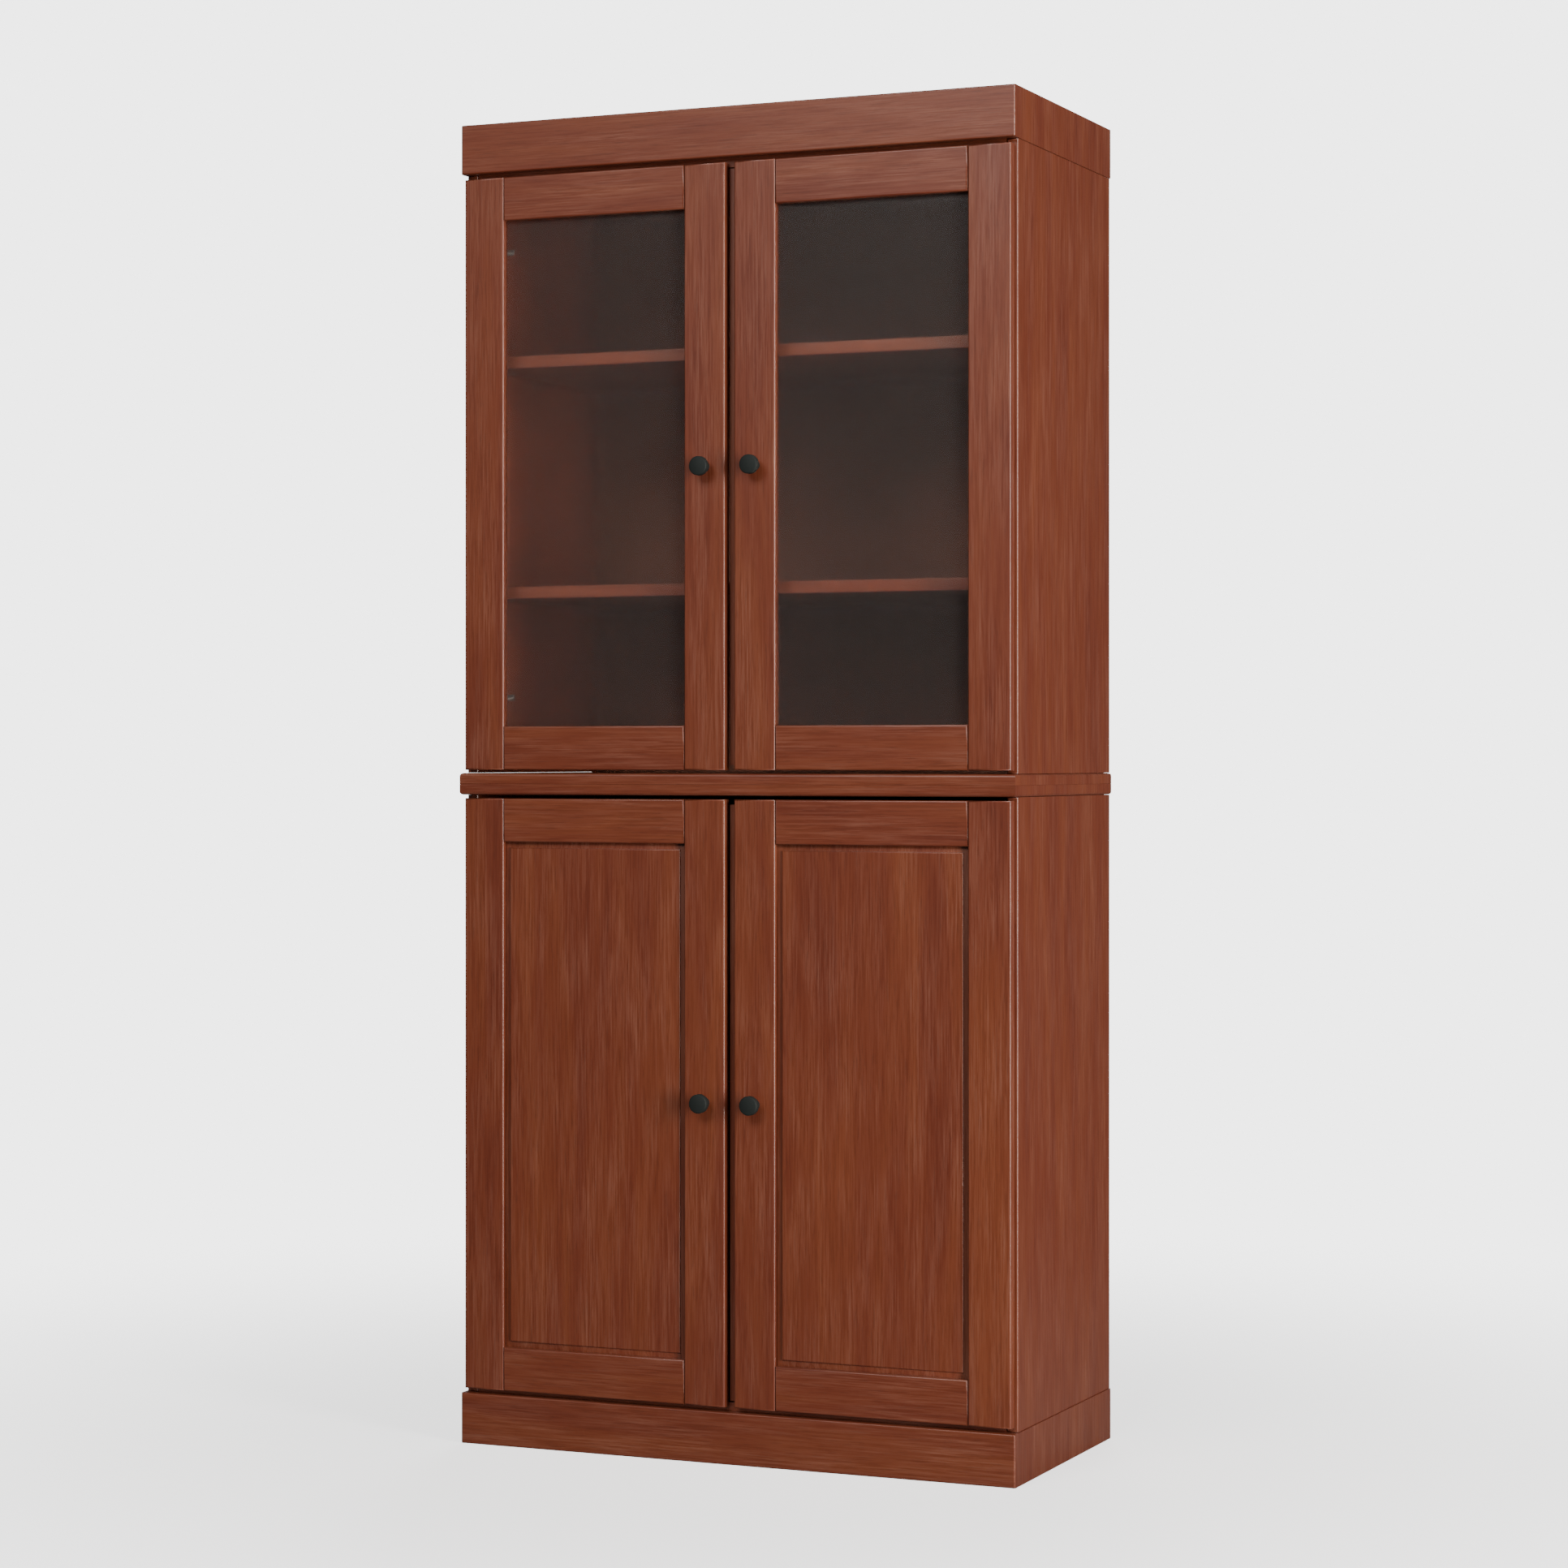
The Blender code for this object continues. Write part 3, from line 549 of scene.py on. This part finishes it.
brad_rows = brad_tree()
FACING_BACK = (-QUARTER, 0.0, 0.0)
SNUG = 0.00045
for case in ("lower", "upper"):
    node = case + "_back_panel"
    low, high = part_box(node)
    board = outer_box((low.x, low.y, low.z - SNUG), (high.x, high.y, high.z + SNUG))
    data = smoothed(board, case + "_back_board")
    data.materials.append(hardboard_finish)
    placed(case + "_back_board", data, "cabinet", [node])
    x_low, x_high = low.x + BRAD_FROM_EDGE, high.x - BRAD_FROM_EDGE
    z_low, z_high = low.z + BRAD_FROM_EDGE, high.z - BRAD_FROM_EDGE
    corners = [(x_low, z_low), (x_high, z_low), (x_high, z_high), (x_low, z_high)]
    places = []
    for index in range(4):
        start, end = Vector(corners[index]), Vector(corners[(index + 1) % 4])
        inset = (end - start).normalized() * BRAD_SPACING / 2
        for x, z in (start + inset, end - inset):
            places.append(((x, high.y, z), FACING_BACK))
    repeated(case + "_back_brads", brad_rows, places, {"Spacing": BRAD_SPACING}, nickel_plate,
             "cabinet", joined=True)


# The shelves: cherry-veneered boards, one in the lower case and two in the upper. Each lies loose on
# four plated pins that are pressed into holes in the case sides.
SHELVES = ("lower_shelf", "upper_shelf_low", "upper_shelf_high")
for shelf_name in SHELVES:
    wooden(shelf_name + "_board", fresh_mesh(shelf_name), "cabinet", [shelf_name], "level")


PIN_RADIUS = 0.0024
PIN_LENGTH = 0.0130
PIN_SIDES = 16
PIN_RINGS = 8


def pin_tree():
    """A round pin with a domed end, along its own Z."""
    tree, given = empty_tree("Shelf Pins", {"Pin Radius": PIN_RADIUS, "Pin Length": PIN_LENGTH})
    nodes, links = tree.nodes, tree.links
    shank = nodes.new("GeometryNodeMeshCylinder")
    shank.inputs["Vertices"].default_value = PIN_SIDES
    links.new(given.outputs["Pin Radius"], shank.inputs["Radius"])
    links.new(given.outputs["Pin Length"], shank.inputs["Depth"])
    dome = nodes.new("GeometryNodeMeshUVSphere")
    dome.inputs["Segments"].default_value = PIN_SIDES
    dome.inputs["Rings"].default_value = PIN_RINGS
    links.new(given.outputs["Pin Radius"], dome.inputs["Radius"])
    upward = nodes.new("ShaderNodeCombineXYZ")
    links.new(worked_out(nodes, links, "MULTIPLY", given.outputs["Pin Length"], 0.5), upward.inputs["Z"])
    end = nodes.new("GeometryNodeTransform")
    links.new(dome.outputs["Mesh"], end.inputs["Geometry"])
    links.new(upward.outputs["Vector"], end.inputs["Translation"])
    whole = nodes.new("GeometryNodeMeshBoolean")
    whole.operation = "UNION"
    links.new(shank.outputs["Mesh"], whole.inputs["Mesh 2"])
    links.new(end.outputs["Geometry"], whole.inputs["Mesh 2"])
    return set_on_points(tree, given, given.outputs["Geometry"], whole.outputs["Mesh"])


PIN_SUNK = 0.0074
PIN_FROM_EDGE = 0.045
PIN_BELOW = 0.0028
pin_places = []
for shelf_name in SHELVES:
    case = shelf_name.split("_")[0]
    shelf_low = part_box(shelf_name)[0]
    back_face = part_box(case + "_back_panel")[0].y
    inner_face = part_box(case + "_side_right")[0].x
    for side in (-1, 1):
        for y in (shelf_low.y + PIN_FROM_EDGE, back_face - PIN_FROM_EDGE):
            x = side * (inner_face + PIN_SUNK - PIN_LENGTH / 2)
            pin_places.append(((x, y, shelf_low.z - PIN_BELOW), (0.0, -side * QUARTER, 0.0)))
repeated("shelf_pins", pin_tree(), pin_places, {"Pin Radius": PIN_RADIUS, "Pin Length": PIN_LENGTH},
         nickel_plate, "cabinet")


# The doors: two cherry stiles and two rails each, tongued, grooved and glued. The lower ones hold a
# loose raised panel, and the right ones carry a dust strip on the back. A small round on every edge
# of a face makes the fine V at each joint. Grain runs up the stiles and along the rails.
DOORS = ("upper_left", "upper_right", "lower_left", "lower_right")
SLOPE_WIDTH = 0.008
QUIRK_DEPTH = 0.0022
QUIRK_ROUND = 0.0018
QUIRK_STEPS = 4
QUIRK_FLOOR = 0.0001
QUIRK_FALL = 0.0002
SLOPE_START = 0.0004
TONGUE_FACE = 0.0085
SHOULDER_GAP = 0.0003
FACE_DEPTH = 0.0070
TONGUE_START = 0.0055


def opening(door):
    """The lowest and highest corner of the hole that a door's frame leaves, as x, z, x, z."""
    boxes = [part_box(door + "_" + stile) for stile in ("outer_stile", "inner_stile")]
    left, right = sorted(boxes, key=lambda box: box[0].x)
    return left[1].x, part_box(door + "_bottom_rail")[1].z, right[0].x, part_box(door + "_top_rail")[0].z


def ringed(rings):
    """A closed mesh through rectangles in step: (x low, z low, x high, z high, y) from back to front."""
    mesh = bmesh.new()
    loops = []
    for x_low, z_low, x_high, z_high, y in rings:
        corners = ((x_low, z_low), (x_high, z_low), (x_high, z_high), (x_low, z_high))
        loops.append([mesh.verts.new((x, y, z)) for x, z in corners])
    for back, front in zip(loops, loops[1:]):
        for index in range(4):
            after = (index + 1) % 4
            mesh.faces.new((back[index], back[after], front[after], front[index]))
    mesh.faces.new(loops[0])
    mesh.faces.new(loops[-1])
    bmesh.ops.recalc_face_normals(mesh, faces=mesh.faces)
    return mesh


def raised_field(door):
    """The panel: a tongue all round, a slope, and a small rounded step up to the flat field."""
    tongue_low, tongue_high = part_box(door + "_panel")
    x_low, z_low, x_high, z_high = opening(door)
    frame_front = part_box(door + "_top_rail")[0].y
    field_y = tongue_low.y
    tongue_y = frame_front + TONGUE_FACE
    outer = (tongue_low.x, tongue_low.z, tongue_high.x, tongue_high.z)

    def inset(by):
        return (x_low + by, z_low + by, x_high - by, z_high - by)

    rings = [(*outer, tongue_high.y), (*outer, tongue_y), (*inset(0.0), tongue_y),
             (*inset(SLOPE_START), tongue_y),
             (*inset(SLOPE_WIDTH - QUIRK_FALL), field_y + QUIRK_DEPTH),
             (*inset(SLOPE_WIDTH), field_y + QUIRK_DEPTH - QUIRK_FLOOR)]
    for step in range(QUIRK_STEPS + 1):
        angle = QUARTER * step / QUIRK_STEPS
        rings.append((*inset(SLOPE_WIDTH + QUIRK_ROUND * (1 - math.cos(angle))),
                      field_y + QUIRK_ROUND * (1 - math.sin(angle))))
    return ringed(rings)


def shouldered(node, door):
    """A rail whose face, between its two shoulders, is rounded on all four edges."""
    low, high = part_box(node)
    left, _, right, _ = opening(door)
    face = outer_box((left + SHOULDER_GAP, low.y, low.z), (right - SHOULDER_GAP, low.y + FACE_DEPTH, high.z))
    round_edges(face, ARRIS, lambda at: abs(at.y - low.y) < ON_PLANE, ARRIS_STEPS)
    tongued = outer_box((low.x, low.y + TONGUE_START, low.z), high)
    return cut(fresh_mesh(node), cut(face, tongued, "UNION"), "INTERSECT")


for door in DOORS:
    for member in ("outer_stile", "inner_stile", "top_rail", "bottom_rail"):
        node = door + "_" + member
        if member.endswith("stile"):
            wooden(node + "_wood", arrised(node), door + "_door", [node])
        else:
            wooden(node + "_wood", shouldered(node, door), door + "_door", [node], "level")
    if door.startswith("lower"):
        wooden(door + "_raised_panel", raised_field(door), door + "_door", [door + "_panel"])
    if door.endswith("right"):
        node = door + "_dust_strip"
        wooden(node + "_wood", fresh_mesh(node), door + "_door", [node])


# The panes: etched glass, satin on both faces, so that what is behind it shows soft. Lamps reach
# through it. Four mitred beads with a rounded lip hold each pane in its rebate, pinned with brads.
def etched_glass():
    material, nodes, links, shader = fresh_material("etched_glass")
    shader.inputs["Base Color"].default_value = (0.91, 0.83, 0.80, 1.0)
    shader.inputs["Transmission Weight"].default_value = 0.991
    shader.inputs["Roughness"].default_value = 0.18
    shader.inputs["IOR"].default_value = 1.45
    shader.inputs["Specular IOR Level"].default_value = 0.2
    let_through = nodes.new("ShaderNodeBsdfTransparent")
    let_through.inputs["Color"].default_value = (0.58, 0.58, 0.58, 1.0)
    path = nodes.new("ShaderNodeLightPath")
    mix = nodes.new("ShaderNodeMixShader")
    links.new(path.outputs["Is Shadow Ray"], mix.inputs[0])
    links.new(shader.outputs[0], mix.inputs[1])
    links.new(let_through.outputs[0], mix.inputs[2])
    links.new(mix.outputs[0], nodes["Material Output"].inputs["Surface"])
    return material


BEAD_FACE = 0.0074
BEAD_GAP = 0.0002
BEAD_STEPS = 4
BEAD_ROUND = 0.8
BEAD_MITRE = 0.00005


def bead_profile(glass_back, door_back):
    """A bead's section as (how far it stands into the opening, depth), with a rounded lip."""
    lip = (door_back - glass_back - BEAD_GAP) * BEAD_ROUND
    profile = [(-BEAD_FACE, glass_back + BEAD_GAP), (0.0, glass_back + BEAD_GAP)]
    for step in range(BEAD_STEPS + 1):
        angle = QUARTER * step / BEAD_STEPS
        profile.append((-lip * (1 - math.cos(angle)), door_back - lip * (1 - math.sin(angle))))
    profile.append((-BEAD_FACE, door_back))
    return profile


def glazing_beads(door):
    """Four closed beads round a door's opening, mitred at its corners."""
    x_low, z_low, x_high, z_high = opening(door)
    profile = bead_profile(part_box(door + "_glass")[1].y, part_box(door + "_top_rail")[1].y)
    beads = bmesh.new()
    middle = ((x_low + x_high) / 2, (z_low + z_high) / 2)
    corners = [(x_low, z_low), (x_high, z_low), (x_high, z_high), (x_low, z_high)]
    for index in range(4):
        here, there = corners[index], corners[(index + 1) % 4]
        ends = []
        for corner, other in ((here, there), (there, here)):
            out_x = math.copysign(1, corner[0] - middle[0])
            out_z = math.copysign(1, corner[1] - middle[1])
            along = Vector((other[0] - corner[0], other[1] - corner[1])).normalized() * BEAD_MITRE
            end = []
            for out, y in profile:
                end.append(beads.verts.new((corner[0] - out_x * out + along.x, y,
                                            corner[1] - out_z * out + along.y)))
            ends.append(end)
        count = len(profile)
        for spot in range(count):
            after = (spot + 1) % count
            beads.faces.new((ends[0][spot], ends[0][after], ends[1][after], ends[1][spot]))
        beads.faces.new(ends[0])
        beads.faces.new(ends[1])
    bmesh.ops.recalc_face_normals(beads, faces=beads.faces)
    return beads


etched = etched_glass()
for door in ("upper_left", "upper_right"):
    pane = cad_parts[door + "_glass"]
    pane.data.materials.clear()
    pane.data.materials.append(etched)
    wooden(door + "_glazing_beads", glazing_beads(door), door + "_door")


# The knobs: turned metal with a flat face, powder-coated matt black. A short stem stands each one
# off its stile, and a screw from behind holds it.
GRIT_BUMP = 0.25
GRIT_DEPTH = 0.0001


def black_coat():
    material, nodes, links, shader = fresh_material("matt_black_coat")
    shader.inputs["Base Color"].default_value = (0.014, 0.018, 0.017, 1.0)
    shader.inputs["Roughness"].default_value = 0.65
    shader.inputs["Specular IOR Level"].default_value = 0.22
    grit = noise_in_place(nodes, links, "grit", 1800.0, 2.0)
    bumped(nodes, links, shader, grit, GRIT_BUMP, GRIT_DEPTH)
    return material


coat = black_coat()
for door in DOORS:
    node = door + "_knob"
    data = smoothed(fresh_mesh(node), node + "_turned")
    data.materials.append(coat)
    placed(node + "_turned", data, door + "_door", [node])


# The concealed hinges, two to a door: a cup let into the stile, a link, and an arm on a plate, all
# pressed from steel and nickel-plated. Two screws hold the cup's wing, two more the plate, and one
# clamps the arm.
CUP_SCREW_RADIUS = 0.0035
PLATE_SCREW_RADIUS = 0.0038
HEAD_HEIGHT = 0.0014
HEAD_SIDES = 24
HEAD_TOP_SHARE = 0.72
CROSS_WIDTH = 0.0009
CROSS_LENGTH = 0.0042
CROSS_LEVELS = (("X", "Y", 1.0), ("Y", "X", 1.12))


def screw_tree():
    """A low pan head with a cross cut in it, facing its own Z."""
    tree, given = empty_tree("Cross-Head Screws", {"Head Radius": CUP_SCREW_RADIUS,
                                                   "Head Height": HEAD_HEIGHT,
                                                   "Cross Width": CROSS_WIDTH,
                                                   "Cross Length": CROSS_LENGTH})
    nodes, links = tree.nodes, tree.links
    top_radius = worked_out(nodes, links, "MULTIPLY", given.outputs["Head Radius"], HEAD_TOP_SHARE)
    head = nodes.new("GeometryNodeMeshCone")
    head.inputs["Vertices"].default_value = HEAD_SIDES
    links.new(top_radius, head.inputs["Radius Top"])
    links.new(given.outputs["Head Radius"], head.inputs["Radius Bottom"])
    links.new(given.outputs["Head Height"], head.inputs["Depth"])
    cutters = []
    for across, along, height in CROSS_LEVELS:
        size = nodes.new("ShaderNodeCombineXYZ")
        links.new(given.outputs["Cross Width"], size.inputs[across])
        links.new(given.outputs["Cross Length"], size.inputs[along])
        links.new(given.outputs["Head Height"], size.inputs["Z"])
        slot_box = nodes.new("GeometryNodeMeshCube")
        links.new(size.outputs["Vector"], slot_box.inputs["Size"])
        level = worked_out(nodes, links, "MULTIPLY", given.outputs["Head Height"], height)
        lift = nodes.new("ShaderNodeCombineXYZ")
        links.new(level, lift.inputs["Z"])
        raised = nodes.new("GeometryNodeTransform")
        links.new(slot_box.outputs["Mesh"], raised.inputs["Geometry"])
        links.new(lift.outputs["Vector"], raised.inputs["Translation"])
        cutters.append(raised)
    recess = nodes.new("GeometryNodeMeshBoolean")
    recess.operation = "DIFFERENCE"
    links.new(head.outputs["Mesh"], recess.inputs["Mesh 1"])
    for cutter in cutters:
        links.new(cutter.outputs["Geometry"], recess.inputs["Mesh 2"])
    return set_on_points(tree, given, given.outputs["Geometry"], recess.outputs["Mesh"])


cross_head_screws = screw_tree()
WING_THICKNESS = 0.0007
WING_RING = 0.0190
WING_REACH = 0.0095
WING_MOUTH = 0.0166
WING_STEPS = 64
WING_SCREW = 0.0238
WING_NECK = 0.78
WING_NECK_SPAN = 0.17
HEAD_LIFT = 0.0005
PLATE_SCREW_Z = 0.0150
PLATE_SCREW_BEHIND = 0.0410
ARM_SCREW_BEHIND = 0.0450
PLATE_FACE = 0.0025
ARM_FACE = 0.0090


def plated_piece(name, mesh, body, replaced=()):
    data = smoothed(mesh, name)
    data.materials.append(nickel_plate)
    placed(name, data, body, replaced)


def wing(centre, door_back):
    """The pressed ring round a cup's mouth, drawn out above and below for its screws."""
    mesh = bmesh.new()
    loops = []
    proud_y = door_back + WING_THICKNESS
    for at_rim, y in ((False, door_back), (True, door_back), (True, proud_y), (False, proud_y)):
        loop = []
        for step in range(WING_STEPS):
            angle = 2 * math.pi * step / WING_STEPS
            radius = WING_MOUTH
            if at_rim:
                share = min(max((abs(math.sin(angle)) - WING_NECK) / WING_NECK_SPAN, 0.0), 1.0)
                radius = WING_RING + WING_REACH * share * share * (3 - 2 * share)
            loop.append(mesh.verts.new((centre.x + radius * math.cos(angle), y,
                                        centre.z + radius * math.sin(angle))))
        loops.append(loop)
    for first, second in zip(loops, loops[1:] + loops[:1]):
        for step in range(WING_STEPS):
            after = (step + 1) % WING_STEPS
            mesh.faces.new((first[step], first[after], second[after], second[step]))
    bmesh.ops.recalc_face_normals(mesh, faces=mesh.faces)
    return mesh


for door in DOORS:
    side = -1 if "left" in door else 1
    stile_low, stile_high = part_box(door + "_outer_stile")
    door_back = stile_high.y
    cup_low, cup_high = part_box(door + "_hinge_cup")
    arm_low, arm_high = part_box(door + "_hinge_arm")
    cup_centre = (cup_low + cup_high) / 2
    between = cup_centre.z - (stile_low.z + stile_high.z - cup_centre.z)
    panel_face = arm_high.x if side > 0 else arm_low.x
    inward = (0.0, -side * QUARTER, 0.0)
    head_y = door_back + WING_THICKNESS + HEAD_LIFT
    plate_x = panel_face - side * (PLATE_FACE + HEAD_LIFT)
    arm_x = panel_face - side * (ARM_FACE + HEAD_LIFT)
    door_screws = []
    case_screws = []
    wings = bmesh.new()
    for drop in (0.0, between):
        at = Vector((cup_centre.x, door_back, cup_centre.z - drop))
        one_wing = bpy.data.meshes.new("wing")
        shape = wing(at, door_back)
        shape.to_mesh(one_wing)
        shape.free()
        wings.from_mesh(one_wing)
        bpy.data.meshes.remove(one_wing)
        for sign in (-1, 1):
            door_screws.append(((at.x, head_y, at.z + sign * WING_SCREW), FACING_BACK))
            plate_spot = (plate_x, door_back + PLATE_SCREW_BEHIND, at.z + sign * PLATE_SCREW_Z)
            case_screws.append((plate_spot, inward))
        case_screws.append(((arm_x, door_back + ARM_SCREW_BEHIND, at.z), inward))
    plated_piece(door + "_hinge_wings", wings, door + "_door")
    repeated(door + "_cup_screws", cross_head_screws, door_screws, {"Head Radius": CUP_SCREW_RADIUS},
             nickel_plate, door + "_door")
    repeated(door + "_plate_screws", cross_head_screws, case_screws, {"Head Radius": PLATE_SCREW_RADIUS},
             nickel_plate, "cabinet")
    hinge_bodies = {"hinge_cup": door + "_door", "hinge_arm": "cabinet", "hinge_link": door + "_link"}
    for part, body in hinge_bodies.items():
        node = door + "_" + part
        for spot, drop, replaced in (("top", 0.0, [node]), ("bottom", between, ())):
            copy = fresh_mesh(node)
            bmesh.ops.translate(copy, verts=copy.verts, vec=(0, 0, -drop))
            plated_piece(node + "_" + spot, copy, body, replaced)


# The studio: a pale floor that fades out into a white surround, a tall strip light on the right,
# a soft box above the front, a weaker one behind, and a long lens at half the cabinet's height.
def aimed_light(name, place, target, width, height, watts, colour=(1.0, 1.0, 1.0)):
    lamp = bpy.data.lights.new(name, "AREA")
    lamp.shape = "RECTANGLE"
    lamp.size = width
    lamp.size_y = height
    lamp.energy = watts
    lamp.color = colour
    holder = bpy.data.objects.new(name, lamp)
    holder.location = place
    holder.rotation_euler = (Vector(target) - Vector(place)).to_track_quat("-Z", "Y").to_euler()
    bpy.context.scene.collection.objects.link(holder)


aimed_light("right_strip", (5.6, -2.7, 1.3), (0.0, 0.0, 0.95), 1.6, 4.4, 625, (1.0, 0.94, 0.89))
aimed_light("front_box", (-0.50, -6.2, 4.9), (0.1, -0.1, 1.15), 4.0, 2.6, 288, (1.0, 0.97, 0.94))
aimed_light("back_fill", (-1.3, 5.4, 2.6), (0.0, 0.1, 0.95), 2.4, 2.4, 160)

SURROUND_LIGHT = 0.07
SURROUND_SEEN = 4.0
world = bpy.data.worlds.new("white_surround")
world.use_nodes = True
bpy.context.scene.world = world
sky = world.node_tree
sky.nodes.clear()
sky_out = sky.nodes.new("ShaderNodeOutputWorld")
sky_mix = sky.nodes.new("ShaderNodeMixShader")
sky_path = sky.nodes.new("ShaderNodeLightPath")
sky_light = sky.nodes.new("ShaderNodeBackground")
sky_seen = sky.nodes.new("ShaderNodeBackground")
sky_light.inputs["Strength"].default_value = SURROUND_LIGHT
sky_light.inputs["Color"].default_value = (1.0, 1.0, 1.0, 1.0)
sky_seen.inputs["Strength"].default_value = SURROUND_SEEN
sky_seen.inputs["Color"].default_value = (1.0, 1.0, 1.0, 1.0)
sky.links.new(sky_path.outputs["Is Camera Ray"], sky_mix.inputs[0])
sky.links.new(sky_light.outputs[0], sky_mix.inputs[1])
sky.links.new(sky_seen.outputs[0], sky_mix.inputs[2])
sky.links.new(sky_mix.outputs[0], sky_out.inputs["Surface"])

FLOOR_RADIUS = 2.6
FLOOR_SEGMENTS = 96
FADE_START = 0.45
FADE_END = FLOOR_RADIUS - 0.1
FLOOR_GLOW = 1.6


def pale_floor():
    """Nearly white to the camera, darker to everything else, and clear towards its rim."""
    material, nodes, links, shader = fresh_material("pale_floor")
    shader.inputs["Roughness"].default_value = 0.85
    shader.inputs["Specular IOR Level"].default_value = 0.2
    shader.inputs["Emission Color"].default_value = (1.0, 1.0, 1.0, 1.0)
    place = nodes.new("ShaderNodeTexCoord")
    distance = nodes.new("ShaderNodeVectorMath")
    distance.operation = "LENGTH"
    fade = nodes.new("ShaderNodeMapRange")
    fade.interpolation_type = "SMOOTHSTEP"
    fade.inputs["From Min"].default_value = FADE_START
    fade.inputs["From Max"].default_value = FADE_END
    fade.inputs["To Min"].default_value = 1.0
    fade.inputs["To Max"].default_value = 0.0
    path = nodes.new("ShaderNodeLightPath")
    tone = colour_steps(nodes, [(0.0, (0.22, 0.21, 0.20)), (1.0, (0.92, 0.92, 0.92))])
    links.new(path.outputs["Is Camera Ray"], tone.inputs["Fac"])
    glow = ranged(nodes, links, path.outputs["Is Camera Ray"], 0, 1, 0, FLOOR_GLOW)
    links.new(glow, shader.inputs["Emission Strength"])
    links.new(tone.outputs["Color"], shader.inputs["Base Color"])
    links.new(place.outputs["Object"], distance.inputs[0])
    links.new(distance.outputs["Value"], fade.inputs["Value"])
    links.new(fade.outputs["Result"], shader.inputs["Alpha"])
    return material


floor_mesh = bmesh.new()
bmesh.ops.create_circle(floor_mesh, cap_ends=True, radius=FLOOR_RADIUS, segments=FLOOR_SEGMENTS)
floor_data = bpy.data.meshes.new("studio_floor")
floor_mesh.to_mesh(floor_data)
floor_mesh.free()
floor = bpy.data.objects.new("studio_floor", floor_data)
bpy.context.scene.collection.objects.link(floor)
floor_data.materials.append(pale_floor())
floor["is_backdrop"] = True

SENSOR_MM = 36.0
LENS_MM = 85.38
LENS_SHIFT = -0.0175
CAMERA_PLACE = (2.0565, -4.7433, 0.9529)
CAMERA_SWING = math.radians(23.435)
camera_data = bpy.data.cameras.new("studio_camera")
camera_data.sensor_width = SENSOR_MM
camera_data.lens = LENS_MM
camera_data.shift_y = LENS_SHIFT
camera = bpy.data.objects.new("studio_camera", camera_data)
camera.location = CAMERA_PLACE
camera.rotation_euler = (QUARTER, 0, CAMERA_SWING)
bpy.context.scene.collection.objects.link(camera)
bpy.context.scene.camera = camera


low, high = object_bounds()
